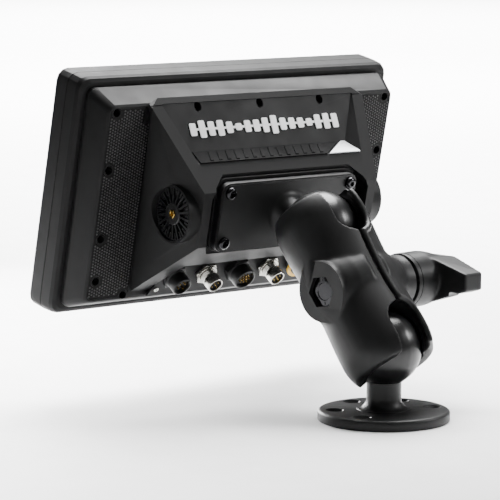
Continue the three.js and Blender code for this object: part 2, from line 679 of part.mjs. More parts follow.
CONNECTORS.forEach(([name, finish, geometry], index) => {
  add(head, name, placed(geometry, connectorAt[index]), finish);
});
add(head, "sensor_ring", placed(ring(11.9, 8.6, 3.4, 5.4, 20), connectorAt[4]), "yellow");
add(head, "mount_gasket", mountGasket(), "rubber");
add(head, "adapter_plate", adapterPlate(), "coated");
adapterScrewAt.forEach(([x, y], index) => {
  add(head, `adapter_screw_${index + 1}`, adapterScrew(x, y), "steel");
});
add(head, "upper_ball", moved(mountBall(), 0, PLATE_Y, NECK_REACH), "rubber");

// ---- build the mount ----
add(group, "base_plate", basePlate(), "coated");
add(group, "lower_ball", moved(mountBall(), 0, 0, BASE.ballHeight), "rubber");
add(arm, "arm_half_fixed", armHalf(FIXED, fixedBoss()), "coated");
add(arm, "arm_half_clamping", armHalf(JAW, jawBoss()), "coated");
const atWaist = (mesh) => mesh.position.set(0, 0, ARM.length / 2);
add(arm, "clamp_bolt", clampBolt(), "steel", atWaist);
add(arm, "arm_spring", armSpring(), "steel", atWaist);
add(arm, "knob_washer", knobWasher(), "steel", atWaist);
add(arm, "knob", knobBody(), "plastic", (mesh) => {
  atWaist(mesh);
  mesh.rotation.x = -ARM_LEAN; // the wings lie level at rest
});

export default group;
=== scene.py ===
"""Looks for the fish finder on a double-ball mount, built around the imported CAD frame. Metres, +Z up."""
import json
import math

import bmesh
import bpy
from mathutils import Matrix, Vector


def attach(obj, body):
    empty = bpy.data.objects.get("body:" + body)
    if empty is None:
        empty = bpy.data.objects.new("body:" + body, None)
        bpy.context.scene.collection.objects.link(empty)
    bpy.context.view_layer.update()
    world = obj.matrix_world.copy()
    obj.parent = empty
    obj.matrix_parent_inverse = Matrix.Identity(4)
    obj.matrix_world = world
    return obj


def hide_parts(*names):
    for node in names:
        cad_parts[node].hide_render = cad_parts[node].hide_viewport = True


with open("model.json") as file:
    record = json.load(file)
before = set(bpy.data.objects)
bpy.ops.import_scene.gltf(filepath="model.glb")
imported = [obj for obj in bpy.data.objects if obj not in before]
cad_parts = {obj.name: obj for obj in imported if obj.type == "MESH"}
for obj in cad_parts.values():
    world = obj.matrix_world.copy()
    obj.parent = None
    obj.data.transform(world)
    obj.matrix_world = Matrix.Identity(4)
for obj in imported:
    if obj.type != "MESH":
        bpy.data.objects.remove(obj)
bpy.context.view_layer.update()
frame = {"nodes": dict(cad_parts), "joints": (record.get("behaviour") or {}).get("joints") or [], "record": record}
MM = 0.001
NODES = frame["nodes"]
JOINTS = {joint["name"]: joint for joint in frame["joints"]}

# ---- frames that the CAD joints give ----
UPPER_BALL = Vector(JOINTS["head_roll"]["pos_m"])
LOWER_BALL = Vector(JOINTS["base_swivel"]["pos_m"])
HEAD_Z = Vector(JOINTS["head_roll"]["axis"]).normalized()
HEAD_X = Vector((-1, 0, 0))
HEAD_Y = HEAD_Z.cross(HEAD_X).normalized()
NECK_REACH = 148 * MM
PLATE_Y = 1.3 * MM
BOLT_X = Vector(JOINTS["arm_tilt"]["axis"]).normalized()
ARM_Z = (UPPER_BALL - LOWER_BALL).normalized()
ARM_Y = ARM_Z.cross(BOLT_X).normalized()
ARM_LENGTH = (UPPER_BALL - LOWER_BALL).length / MM


def basis(x_axis, y_axis, z_axis, origin):
    """Matrix that takes millimetres in a local frame to metres in the row frame."""
    turn = Matrix((x_axis, y_axis, z_axis)).transposed().to_4x4()
    return Matrix.Translation(origin) @ turn @ Matrix.Scale(MM, 4)


HEAD = basis(HEAD_X, HEAD_Y, HEAD_Z, UPPER_BALL - HEAD_Z * NECK_REACH - HEAD_Y * PLATE_Y)
ARM = basis(BOLT_X, ARM_Y, ARM_Z, LOWER_BALL)
WORLD = Matrix.Scale(MM, 4)


# ---- materials ----
class Nodes:
    """A node tree builder: each call adds one node and wires what it is given."""

    def __init__(self, name):
        self.material = bpy.data.materials.new(name)
        self.material.use_nodes = True
        self.tree = self.material.node_tree
        self.shader = self.tree.nodes["Principled BSDF"]
        coordinates = self.tree.nodes.new("ShaderNodeTexCoord")
        self.place = coordinates.outputs["Object"]

    def wire(self, source, target):
        self.tree.links.new(source, target)

    def noise(self, scale, detail=4.0, roughness=0.55):
        node = self.tree.nodes.new("ShaderNodeTexNoise")
        node.inputs["Scale"].default_value = scale
        node.inputs["Detail"].default_value = detail
        node.inputs["Roughness"].default_value = roughness
        self.wire(self.place, node.inputs["Vector"])
        return node.outputs["Fac"]

    def remap(self, value, low, high, from_low=0.3, from_high=0.7):
        node = self.tree.nodes.new("ShaderNodeMapRange")
        node.inputs["From Min"].default_value = from_low
        node.inputs["From Max"].default_value = from_high
        node.inputs["To Min"].default_value = low
        node.inputs["To Max"].default_value = high
        self.wire(value, node.inputs["Value"])
        return node.outputs["Result"]

    def blend(self, factor, first, second):
        node = self.tree.nodes.new("ShaderNodeMix")
        node.data_type = "RGBA"
        node.inputs[6].default_value = (*first, 1)
        node.inputs[7].default_value = (*second, 1)
        self.wire(factor, node.inputs[0])
        return node.outputs[2]

    def bump(self, height, strength, distance, under=None):
        node = self.tree.nodes.new("ShaderNodeBump")
        node.inputs["Strength"].default_value = strength
        node.inputs["Distance"].default_value = distance
        self.wire(height, node.inputs["Height"])
        if under is not None:
            self.wire(under, node.inputs["Normal"])
        return node.outputs["Normal"]

    def finish(self, color=None, roughness=None, normal=None, **constants):
        for socket, value in (("Base Color", color), ("Roughness", roughness), ("Normal", normal)):
            if value is not None:
                self.wire(value, self.shader.inputs[socket])
        for name, value in constants.items():
            self.shader.inputs[name.replace("_", " ")].default_value = value
        return self.material


def grained(name, dark, light, rough, grain=1600, depth=0.00003, strength=0.25, **constants):
    """A coloured surface with slow tone change, fine grain and roughness that varies with it."""
    nodes = Nodes(name)
    tone = nodes.noise(22, 5.0)
    fine = nodes.noise(grain, 2.0)
    color = nodes.blend(nodes.remap(tone, 0, 1), dark, light)
    roughness = nodes.remap(nodes.noise(55, 4.0), rough[0], rough[1])
    normal = nodes.bump(fine, strength, depth)
    return nodes.finish(color, roughness, normal, **constants)


MATTE = {"Specular_IOR_Level": 0.15}
MATERIALS = {
    "case": grained("case_plastic", (0.005, 0.0051, 0.0053), (0.0072, 0.0073, 0.0075), (0.46, 0.56), 2200, **MATTE),
    "cover": grained("cover_plastic", (0.0048, 0.0049, 0.0051), (0.0066, 0.0067, 0.0069), (0.46, 0.56), 2600, **MATTE),
    "trim": grained("trim_plastic", (0.004, 0.004, 0.0043), (0.006, 0.006, 0.0063), (0.42, 0.52), 2600, **MATTE),
    "hub": grained("hub_plastic", (0.005, 0.0052, 0.0054), (0.0075, 0.0077, 0.008), (0.36, 0.46), 2400,
                   Specular_IOR_Level=0.3),
    "gloss": grained("strip_plastic", (0.0012, 0.0012, 0.0014), (0.002, 0.002, 0.0022), (0.8, 0.9), 1500,
                     0.000008, 0.15, Specular_IOR_Level=0.1),
    "grille": grained("grille_floor", (0.0016, 0.0016, 0.0018), (0.003, 0.003, 0.0032), (0.55, 0.65), 2600, **MATTE),
    "pips": grained("grille_pips", (0.014, 0.0142, 0.0145), (0.022, 0.0222, 0.0225), (0.4, 0.5), 2600),
    "coat": grained("powder_coat", (0.003, 0.003, 0.0032), (0.005, 0.0051, 0.0053), (0.4, 0.5), 1500, 0.00004,
                    0.35, Specular_IOR_Level=0.28),
    "ball": grained("ball_rubber", (0.003, 0.003, 0.0032), (0.0055, 0.0055, 0.0058), (0.27, 0.34), 900, 0.00001,
                    0.15, Specular_IOR_Level=0.42),
    "rubber": grained("soft_rubber", (0.0025, 0.0025, 0.0026), (0.0045, 0.0045, 0.0046), (0.55, 0.7), 1200, **MATTE),
    "knob": grained("knob_plastic", (0.006, 0.0061, 0.0064), (0.009, 0.0091, 0.0094), (0.4, 0.48), 2000,
                    Specular_IOR_Level=0.18),
    "glass": grained("screen_glass", (0.002, 0.0022, 0.0026), (0.003, 0.0034, 0.004), (0.05, 0.09), 300, 0.000002,
                     0.05, Coat_Weight=0.6, Coat_Roughness=0.03),
    "panel": grained("screen_panel", (0.004, 0.005, 0.008), (0.006, 0.0075, 0.012), (0.1, 0.16), 300, 0.000002, 0.05),
    "black_chrome": grained("black_chrome", (0.02, 0.02, 0.022), (0.045, 0.045, 0.047), (0.14, 0.24), 800,
                            0.00001, 0.2, Metallic=1.0),
    "nickel": grained("nickel", (0.42, 0.41, 0.38), (0.58, 0.57, 0.54), (0.16, 0.28), 700, 0.00001, 0.2, Metallic=1.0),
    "brass": grained("brass", (0.42, 0.28, 0.07), (0.6, 0.42, 0.13), (0.2, 0.32), 700, 0.00001, 0.2, Metallic=1.0),
    "board": grained("circuit_board", (0.008, 0.08, 0.03), (0.014, 0.12, 0.05), (0.3, 0.45)),
    "aluminium": grained("bare_aluminium", (0.5, 0.51, 0.52), (0.64, 0.65, 0.66), (0.3, 0.45), Metallic=1.0),
    "ceramic": grained("ceramic", (0.55, 0.53, 0.48), (0.66, 0.64, 0.58), (0.4, 0.5)),
    "white": grained("emblem_white", (0.78, 0.78, 0.78), (0.88, 0.88, 0.88), (0.35, 0.45), 1500, 0.00001, 0.2),
    "silver": grained("accent_silver", (0.34, 0.35, 0.36), (0.46, 0.47, 0.48), (0.3, 0.4), 1400, 0.00001, 0.25,
                      Metallic=0.7),
    "yellow": grained("ring_yellow", (0.7, 0.4, 0.02), (0.82, 0.5, 0.04), (0.35, 0.5), 1200),
}


# ---- forms: meshes in millimetres, in a frame of their own ----
def form(vertices, faces):
    mesh = bpy.data.meshes.new("form")
    mesh.from_pydata(vertices, [], faces)
    return mesh


def moved(mesh, *matrices):
    """The mesh after each matrix in turn, the last one first."""
    total = Matrix.Identity(4)
    for matrix in matrices:
        total = total @ matrix
    mesh.transform(total)
    if total.determinant() < 0:
        mesh.flip_normals()
    return mesh


def shift(x, y, z):
    return Matrix.Translation((x, y, z))


def turn(degrees, axis):
    return Matrix.Rotation(math.radians(degrees), 4, axis)


TO_X = turn(90, "Y")  # stands a body made along +Z along +X


def lathe(profile, segments=96):
    """A body turned about Z from (radius, height) points that start and end on the axis."""
    vertices = []
    rings = []
    for radius, height in profile:
        count = 1 if radius < 1e-6 else segments
        rings.append(range(len(vertices), len(vertices) + count))
        for index in range(count):
            angle = 2 * math.pi * index / count
            vertices.append((radius * math.cos(angle), radius * math.sin(angle), height))
    faces = []
    for low, high in zip(rings, rings[1:]):
        for index in range(segments):
            after = (index + 1) % segments
            if len(low) == 1 and len(high) == 1:
                break
            if len(low) == 1:
                faces.append((low[0], high[after], high[index]))
            elif len(high) == 1:
                faces.append((low[index], low[after], high[0]))
            else:
                faces.append((low[index], low[after], high[after], high[index]))
    return form(vertices, faces)


def rod(radius, low, high, segments=64):
    return lathe([(0, low), (radius, low), (radius, high), (0, high)], segments)


def prism(outline, low, high):
    count = len(outline)
    vertices = [(x, y, low) for x, y in outline] + [(x, y, high) for x, y in outline]
    faces = [tuple(reversed(range(count))), tuple(range(count, 2 * count))]
    for index in range(count):
        after = (index + 1) % count
        faces.append((index, after, count + after, count + index))
    return form(vertices, faces)


def arc(cx, cy, radius, start, end, steps=8):
    angles = [math.radians(start + (end - start) * step / steps) for step in range(steps + 1)]
    return [(cx + radius * math.cos(angle), cy + radius * math.sin(angle)) for angle in angles]


def rounded(width, height, corner, x=0.0, y=0.0, steps=8):
    outline = []
    for quarter, (sx, sy) in enumerate(((1, 1), (-1, 1), (-1, -1), (1, -1))):
        centre = (x + sx * (width / 2 - corner), y + sy * (height / 2 - corner))
        outline += arc(*centre, corner, 90 * quarter, 90 * quarter + 90, steps)
    return outline


def hexagon(flats):
    return arc(0, 0, flats / math.sqrt(3), 0, 300, 5)


def box(x0, x1, y0, y1, z0, z1):
    return prism([(x0, y0), (x1, y0), (x1, y1), (x0, y1)], z0, z1)


def frames_along(points):
    """A pair of directions square to the path at each of its points, without twist."""
    side = None
    frames = []
    for index, point in enumerate(points):
        before = points[max(index - 1, 0)]
        after = points[min(index + 1, len(points) - 1)]
        along = (after - before).normalized()
        side = along.orthogonal() if side is None else side - along * side.dot(along)
        side.normalize()
        frames.append((side.copy(), along.cross(side)))
    return frames


def tube(points, radius, segments=12):
    vertices = []
    for point, (side, up) in zip(points, frames_along(points)):
        for index in range(segments):
            angle = 2 * math.pi * index / segments
            vertices.append(tuple(point + (side * math.cos(angle) + up * math.sin(angle)) * radius))
    faces = []
    for ring in range(len(points) - 1):
        start = ring * segments
        for index in range(segments):
            after = (index + 1) % segments
            faces.append((start + index, start + after, start + segments + after, start + segments + index))
    last = len(vertices) - segments
    faces.append(tuple(reversed(range(segments))))
    faces.append(tuple(range(last, last + segments)))
    return form(vertices, faces)


def joined(*meshes):
    """The meshes as one, each keeping its own closed surface."""
    whole = bmesh.new()
    for mesh in meshes:
        whole.from_mesh(mesh)
    result = bpy.data.meshes.new("form")
    whole.to_mesh(result)
    whole.free()
    return result


def worked(mesh, *settings):
    """The mesh after a chain of modifiers, each given as (type, {property: value})."""
    holder = bpy.data.objects.new("work", mesh)
    bpy.context.scene.collection.objects.link(holder)
    for kind, values in settings:
        modifier = holder.modifiers.new(kind, kind)
        for name, value in values.items():
            setattr(modifier, name, value)
    result = bpy.data.meshes.new_from_object(holder.evaluated_get(bpy.context.evaluated_depsgraph_get()))
    bpy.data.objects.remove(holder)
    return result


def boolean(operation, mesh, tools):
    holders = []
    steps = []
    for tool in tools:
        holder = bpy.data.objects.new("tool", tool)
        bpy.context.scene.collection.objects.link(holder)
        holders.append(holder)
        steps.append(("BOOLEAN", {"operation": operation, "solver": "MANIFOLD", "object": holder}))
    result = worked(mesh, *steps)
    for holder in holders:
        bpy.data.objects.remove(holder)
    return result


def cut(mesh, *tools):
    return boolean("DIFFERENCE", mesh, tools)


def united(mesh, *others):
    return boolean("UNION", mesh, others)


def melted(mesh, voxel, passes):
    """A cast body: one skin over everything, its inner corners filled and its edges rounded."""
    remesh = ("REMESH", {"mode": "VOXEL", "voxel_size": voxel})
    return worked(mesh, remesh, ("SMOOTH", {"factor": 0.5, "iterations": passes}))


# ---- pieces ----
BODIES = frame["record"]["behaviour"]["bodies"]
BODY_OF = {node: body for body, nodes in BODIES.items() for node in nodes}


def piece(name, mesh, place, material, stands_for=(), rides=None, edge=0.3, sharp=32):
    """A shown piece from a form in millimetres. It takes its body from the node it rides, or else from the first node
    it stands for.
    """
    mesh.transform(place)
    mesh.shade_smooth()
    mesh.set_sharp_from_angle(angle=math.radians(sharp))
    made = bpy.data.objects.new(name, mesh)
    made.data.materials.clear()
    made.data.materials.append(MATERIALS[material])
    bpy.context.scene.collection.objects.link(made)
    if edge:
        bevel = made.modifiers.new("edges", "BEVEL")
        bevel.width = edge * MM
        bevel.segments = 3
        bevel.limit_method = "ANGLE"
        bevel.angle_limit = math.radians(sharp)
        bevel.harden_normals = True
        bevel.use_clamp_overlap = True
    source = rides or stands_for[0]
    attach(made, BODY_OF[source])
    if stands_for:
        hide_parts(*stands_for)
    return made


def refined(node, material, edge=0.5, sharp=28):
    """The CAD node's own form with its flat triangles merged and its edges rounded."""
    shape = bmesh.new()
    shape.from_mesh(NODES[node].data)
    bmesh.ops.remove_doubles(shape, verts=shape.verts, dist=1e-6)
    bmesh.ops.dissolve_limit(shape, angle_limit=math.radians(0.6), verts=shape.verts, edges=shape.edges)
    mesh = bpy.data.meshes.new("form")
    shape.to_mesh(mesh)
    shape.free()
    return piece(node + "_skin", mesh, Matrix.Identity(4), material, (node,), edge=edge, sharp=sharp)


# ---- the case ----
refined("front_bezel", "case", 1.0)
refined("mid_frame", "case", 0.8)
refined("rear_cover", "cover", 0.9)
refined("mount_gasket", "rubber", 0.7)
refined("housing_seal", "rubber", 0.4)
refined("connector_panel", "trim", 0.4)
refined("lcd_module", "panel", 0.5)
refined("heat_spreader", "aluminium", 0.6)
refined("main_board", "board", 0.2)
refined("sonar_board", "board", 0.2)
refined("gps_antenna", "ceramic", 0.6)
refined("buzzer", "trim", 0.8)
refined("card_reader", "nickel", 0.3)

SCREEN_X = 9
COLUMN_X = -145.5
DOOR_Y = -24
KEY_Y = -70


def add_screen():
    glass = prism(rounded(284, 172, 5, SCREEN_X), 0.6, 2.4)
    piece("cover_glass_plate", glass, HEAD, "glass", ("cover_glass",), edge=0.35)
    active = prism(rounded(264, 158, 1.5, SCREEN_X), 0.5, 0.62)
    piece("active_area", active, HEAD, "panel", rides="cover_glass", edge=0.04)


def add_card_door():
    plate = prism(rounded(14, 52, 3), 0.2, 2.4)
    notch = moved(rod(9, -6, 6, 48), shift(0, 31, -0.6), turn(90, "Y"))
    ribs = [moved(prism(rounded(7, 1.2, 0.6, 0, 0, 4), -0.02, 0.5), shift(0, y, 0.02)) for y in range(-20, 13, 4)]
    door = cut(plate, notch)
    piece("card_door_cover", moved(cut(door, *ribs), shift(COLUMN_X, DOOR_Y, 0)), HEAD, "rubber",
          ("card_door",), edge=0.25)


def add_power_key():
    dish = [(0, 0.9), (3.4, 0.75), (5.2, 0.3), (5.9, 0.55), (6.2, 1.1), (6.2, 4), (0, 4)]
    ring = cut(rod(2.6, 0.3, 1.2), rod(2.0, 0, 2), box(-0.7, 0.7, 1, 4, 0, 2))
    bar = box(-0.3, 0.3, 1.2, 3.4, 0.3, 1.2)
    key = joined(lathe(dish), ring, bar)
    piece("power_key_cap", moved(key, shift(COLUMN_X, KEY_Y, 0)), HEAD, "rubber", ("power_button",), edge=0.1)


add_screen()
add_card_door()
add_power_key()


# ---- grilles ----
GRILLE = {"inner": 104, "outer": 143.4, "top": 76, "bottom": -75.5, "face": 52.8}
LANDS = [(137.4, 73.4), (138.2, 27.9), (137.2, -27.2), (136.8, -61.3), (108.5, -74.8)]
PIP_PITCH = 2.4


def in_grille(x, y):
    inside = GRILLE["inner"] + 1.2 < x < GRILLE["outer"] - 1.4 and GRILLE["bottom"] + 1.4 < y < GRILLE["top"] - 1.4
    clear = all(math.hypot(x - sx, y - sy) > 6.0 for sx, sy in LANDS)
    return inside and clear and not (x < 111.6 and y > 62.4)


def pip(x, y, base, tall):
    """A small six-sided pip with a flat top."""
    vertices = []
    for radius, height in ((0.85, base), (0.72, base + tall * 0.7), (0.42, base + tall)):
        vertices += [(x + radius * math.cos(k * math.pi / 3), y + radius * math.sin(k * math.pi / 3), height) for k in range(6)]
    faces = [tuple(range(12, 18))]
    for level in (0, 6):
        faces += [(level + k, level + (k + 1) % 6, level + 6 + (k + 1) % 6, level + 6 + k) for k in range(6)]
    return vertices, faces


def add_grille(name, side):
    columns = range(int(GRILLE["inner"] / PIP_PITCH), int(GRILLE["outer"] / PIP_PITCH) + 1)
    rows = range(int(GRILLE["bottom"] / PIP_PITCH) - 1, int(GRILLE["top"] / PIP_PITCH) + 1)
    vertices = []
    faces = []
    for column in columns:
        for row in rows:
            x = column * PIP_PITCH
            y = (row + 0.5 * (column % 2)) * PIP_PITCH
            if in_grille(x, y):
                points, sides = pip(side * x, y, GRILLE["face"] - 0.05, 0.55)
                faces += [tuple(len(vertices) + index for index in face) for face in sides]
                vertices += points
    piece(f"grille_pips_{name}", form(vertices, faces), HEAD, "pips", rides=f"grille_panel_{name}", edge=0, sharp=60)
    refined(f"grille_panel_{name}", "grille", 0.3)


add_grille("left", -1)
add_grille("right", 1)


# ---- ratchet hubs ----
HUB = {"y": 0.8, "z": 86, "radius": 20.6, "ribs": 18}


def add_hub(name, side):
    rim = 19.9
    floor = lathe([(0, 91.3), (HUB["radius"], 91.3), (HUB["radius"], 94.2), (0, 94.2)])
    centre = lathe([(0, 93), (8.6, 93), (8.6, 97.3), (7.9, 98), (4.4, 98), (4.1, 97.6), (0, 97.6)])
    collar = cut(rod(HUB["radius"], 93, 96.4), rod(rim - 0.6, 90, 99))
    ribs = []
    for index in range(2 * HUB["ribs"]):
        inner, top = (8, 97.4) if index % 2 == 0 else (14.8, 96.9)
        rib = prism([(inner, -0.7), (rim, -0.95), (rim, 0.95), (inner, 0.7)], 93.4, top)
        ribs.append(moved(rib, turn(index * 180 / HUB["ribs"], "Z")))
    hub = cut(united(floor, centre, collar, *ribs), rod(3.5, 80, 110, 32))
    place = HEAD @ shift(0, HUB["y"], HUB["z"]) @ turn(90 * side, "Y")
    piece(f"hub_{name}", hub, place, "hub", (f"ratchet_hub_{name}",), edge=0.25)
    insert = lathe([(0, 91.4), (3.2, 91.4), (3.2, 98.3), (2.9, 98.6), (1.9, 98.6), (1.6, 98.1), (1.6, 93), (0, 93)], 48)
    piece(f"insert_{name}", insert, place, "brass", (f"hub_insert_{name}",), edge=0.08)


add_hub("left", -1)
add_hub("right", 1)


# ---- emblem, rib strip and silver facet on the back ----
def on_slope(y, z, up_y, up_z, lift):
    up = Vector((0, up_y, up_z)).normalized()
    out = Vector((1, 0, 0)).cross(up)
    turned = Matrix((Vector((1, 0, 0)), up, out)).transposed().to_4x4()
    return HEAD @ Matrix.Translation(Vector((0, y, z)) + out * lift) @ turned


EMBLEM = {"bars": 17, "pitch": 9.1, "bar": 6, "tall": 15, "thickness": 0.7}
STRIP = {"half": 8.1, "left": -79, "right": 47}


def add_emblem():
    reach = (EMBLEM["bars"] - 1) * EMBLEM["pitch"] / 2
    rail = prism(rounded(2 * reach, 1.6, 0.5), 0, EMBLEM["thickness"] - 0.1)
    bars = []
    for index in range(EMBLEM["bars"]):
        swing = 0.5 + 0.32 * math.sin(index * 0.9) + 0.18 * math.sin(index * 2.3)
        tall = EMBLEM["tall"] * (0.35 + 0.65 * swing)
        outline = rounded(EMBLEM["bar"], tall, 1.3, index * EMBLEM["pitch"] - reach, 0)
        bars.append(prism(outline, 0, EMBLEM["thickness"]))
    place = on_slope(60.4, 66.6, 30.8, -20.2, 0.35)
    piece("emblem_bars", united(rail, *bars), place, "white", ("title_emblem",), edge=0.18)


def add_strip():
    half, left, right = STRIP["half"], STRIP["left"], STRIP["right"]
    backing = prism([(left, half), (left - 3, -half), (right, -half), (right + 24, half)][::-1], 0, 0.8)
    ribs = []
    for index in range(14):
        x = left + 8 + index * 8.6
        ribs.append(prism([(x, 2 - half), (x + 3.2, 2 - half), (x + 9.2, half - 2), (x + 6, half - 2)], 0.2, 1.4))
    place = on_slope(43.25, 84.5, 4.1, -16.5, 0.35)
    piece("rib_strip_relief", united(backing, *ribs), place, "gloss", ("rib_strip",), edge=0.25)
    facet = prism([(right + 2.4, -half), (82, -half), (77.4, half), (right + 26.4, half)], 0, 0.9)
    groove = prism([(right + 8.4, 1.2 - half), (78.6, 1.2 - half), (75.2, half - 1.2), (right + 28.9, half - 1.2)],
                   0.7, 2)
    piece("facet_plate", cut(facet, groove), place, "silver", ("accent_facet",), edge=0.2)


add_emblem()
add_strip()


# ---- connectors ----
CONNECTOR = {"tilt": 24, "y": -58.5, "z": 63.6, "first": -69.5, "pitch": 32}


def connector_place(index):
    centre = shift(CONNECTOR["first"] + index * CONNECTOR["pitch"], CONNECTOR["y"], CONNECTOR["z"])
    return HEAD @ centre @ turn(CONNECTOR["tilt"], "X")


def chamfered_hex(corner, low, high, bite=0.7):
    """A hexagonal nut whose corners are turned off at both ends."""
    dome = lathe([(0, low), (corner - bite, low), (corner, low + bite * 0.6), (corner, high - bite * 0.6),
                  (corner - bite, high), (0, high)])
    return boolean("INTERSECT", prism(hexagon(corner * math.sqrt(3)), low, high), [dome])


def add_plastic_connector(name, index, radius, length, corner, collar, pins, finish="hub"):
    inner = radius - 1.7
    shell = lathe([
        (0, -7), (5.9, -7), (5.9, 0.2), (8, 0.2), (8, 1), (radius, 1), (radius, length - 0.9), (radius - 0.4, length - 0.2),
        (radius - 0.9, length), (inner + 0.4, length), (inner, length - 0.5), (inner, length - 3.4), (0, length - 3.4),
    ])
    nut = chamfered_hex(corner, 0.4, collar)
    band = lathe([(0, collar), (radius + 0.6, collar), (radius + 0.6, collar + 0.7), (radius, collar + 1.2),
                  (0, collar + 1.2)])
    key = box(-0.9, 0.9, inner - 1.1, inner + 0.5, length - 3.6, length - 0.6)
    body = united(shell, nut, band, key)
    sockets = [moved(rod(0.95, length - 4.6, length - 3.2, 20), shift(x, y, 0)) for x, y in pins]
    place = connector_place(index)
    piece(f"{name}_shell", cut(body, *sockets), place, finish, (name,), edge=0.2)
    contacts = [moved(lathe([(0, length - 4.7), (0.5, length - 4.7), (0.5, length - 1.3), (0.25, length - 0.9), (0, length - 0.9)],
                            16), shift(x, y, 0)) for x, y in pins]
    piece(f"{name}_pins", joined(*contacts), place, "brass", rides=name, edge=0)


def circle_pins(count, radius, start=90):
    return arc(0, 0, radius, start, start + 360 * (count - 1) / count, count - 1)


def grid_pins(rows, pitch):
    pins = []
    for row, count in enumerate(rows):
        y = (row - (len(rows) - 1) / 2) * pitch
        pins += [((column - (count - 1) / 2) * pitch, y) for column in range(count)]
    return pins


def add_metal_connector(name, index):
    length, radius, inner = 17, 6.6, 5.3
    profile = [(0, -7), (5.9, -7), (5.9, 0.2), (7.9, 0.2), (7.9, 1.2), (6.5, 1.2)]
    for step in range(5):  # fine thread above the nut
        z = 4.6 + step * 0.8
        profile += [(6.1, z), (6.55, z + 0.4)]
    profile += [(6.1, 8.8), (6.1, 9.4), (radius, 9.8), (radius, length - 0.5), (radius - 0.4, length),
                (inner + 0.3, length), (inner, length - 0.3), (inner, length - 3.5), (0, length - 3.5)]
    nut = chamfered_hex(10.2, 0.9, 3.2)
    ring = lathe([(0, 3.2), (8.4, 3.2), (8.7, 3.5), (8.7, 4.2), (8.4, 4.5), (0, 4.5)])
    flutes = []
    for step in range(28):
        flute = moved(rod(0.32, 3, 5, 8), turn(step * 360 / 28, "Z"), shift(8.75, 0, 0))
        flutes.append(flute)
    body = united(lathe(profile), nut, cut(ring, *flutes))
    place = connector_place(index)
    piece(f"{name}_shell", body, place, "nickel", (name,), edge=0.1, sharp=40)
    face = cut(rod(inner - 0.05, length - 3.6, length - 2.2, 48), box(-0.8, 0.8, inner - 1.2, inner + 1, 0, 30))
    piece(f"{name}_insulator", face, place, "trim", rides=name, edge=0.15)
    pins = [(0, 0)] + circle_pins(4, 2.9, 45)
    contacts = [moved(lathe([(0, 13), (0.45, 13), (0.45, length - 0.9), (0.2, length - 0.6), (0, length - 0.6)], 16),
                      shift(x, y, 0)) for x, y in pins]
    piece(f"{name}_pins", joined(*contacts), place, "brass", rides=name, edge=0)


add_plastic_connector("power_connector", 0, 8.2, 14.5, 11, 4, circle_pins(4, 3.1, 45))
add_metal_connector("network_connector_a", 1)
add_plastic_connector("transducer_connector", 2, 9.4, 14.5, 11.6, 4, grid_pins([3, 4, 3], 2.9))
add_metal_connector("network_connector_b", 3)
add_plastic_connector("sensor_connector", 4, 8.2, 13.5, 11, 3, circle_pins(5, 3.2) + [(0, 0)])
sensor_band = lathe([(0, 3.4), (11.6, 3.4), (11.9, 3.7), (11.9, 5.1), (11.6, 5.4), (0, 5.4)])
sensor_notches = [moved(rod(0.7, 3, 6, 16), turn(step * 30, "Z"), shift(12.2, 0, 0)) for step in range(12)]
piece("sensor_band", cut(sensor_band, rod(8.9, 0, 9), *sensor_notches), connector_place(4), "yellow",
      ("sensor_ring",), edge=0.15)


# ---- screws ----
def button_screw(radius, low, high, socket, tail, tail_radius):
    """A domed head with a hexagonal socket and a plain shank."""
    tall = high - low
    dome = [(0, low - 0.1), (tail_radius, low - 0.1), (tail_radius, low), (radius, low), (radius, low + 0.25 * tall)]
    for step in range(1, 7):
        angle = math.radians(15 * step)
        dome.append((radius * (0.52 + 0.48 * math.cos(angle)), low + 0.25 * tall + 0.75 * tall * math.sin(angle)))
    dome.append((0, high))
    shank = rod(tail_radius, tail, low + 0.2, 32)
    return cut(united(lathe(dome, 64), shank), prism(hexagon(socket), low + 0.35 * tall, high + 1))


for index, (x, y) in enumerate([(61.3, 21.3), (-61.3, 21.3), (61.3, -18.7), (-61.3, -18.7)], 1):
    screw = button_screw(4.9, 107.9, 111, 3.8, 88, 2.6)
    piece(f"plate_screw_{index}", screw, HEAD @ shift(x, y, 0), "black_chrome", (f"adapter_screw_{index}",), edge=0.12)

side_screws = [point for x, y in LANDS for point in ((x, y), (-x, y))]
for index, (x, y) in enumerate(side_screws + [(62.5, 75.8), (0, 75.8), (-62.5, 75.8)], 1):
    screw = button_screw(2.9, 46.3, 49, 2.1, 26, 1.5)
    piece(f"case_screw_{index}", screw, HEAD @ shift(x, y, 0), "black_chrome", (f"cover_screw_{index}",), edge=0.08)

panel_z = CONNECTOR["z"] + math.tan(math.radians(CONNECTOR["tilt"])) * (-71 - CONNECTOR["y"])
for index, x in enumerate((-80.5, 80.5), 1):
    screw = button_screw(2.1, 0.3, 1.5, 1.3, -5, 1.1)
    place = HEAD @ shift(x, -71, panel_z) @ turn(CONNECTOR["tilt"], "X")
    piece(f"recess_screw_{index}", screw, place, "nickel", (f"panel_screw_{index}",), edge=0.05)


# ---- plate, balls and base ----
def flare(start_radius, end_radius, height, steps=10):
    """A hollow quarter curve that runs from a flat face up into a neck."""
    points = []
    for step in range(steps + 1):
        angle = math.radians(90 * step / steps)
        points.append((end_radius + (start_radius - end_radius) * (1 - math.sin(angle)), height * (1 - math.cos(angle))))
    return points


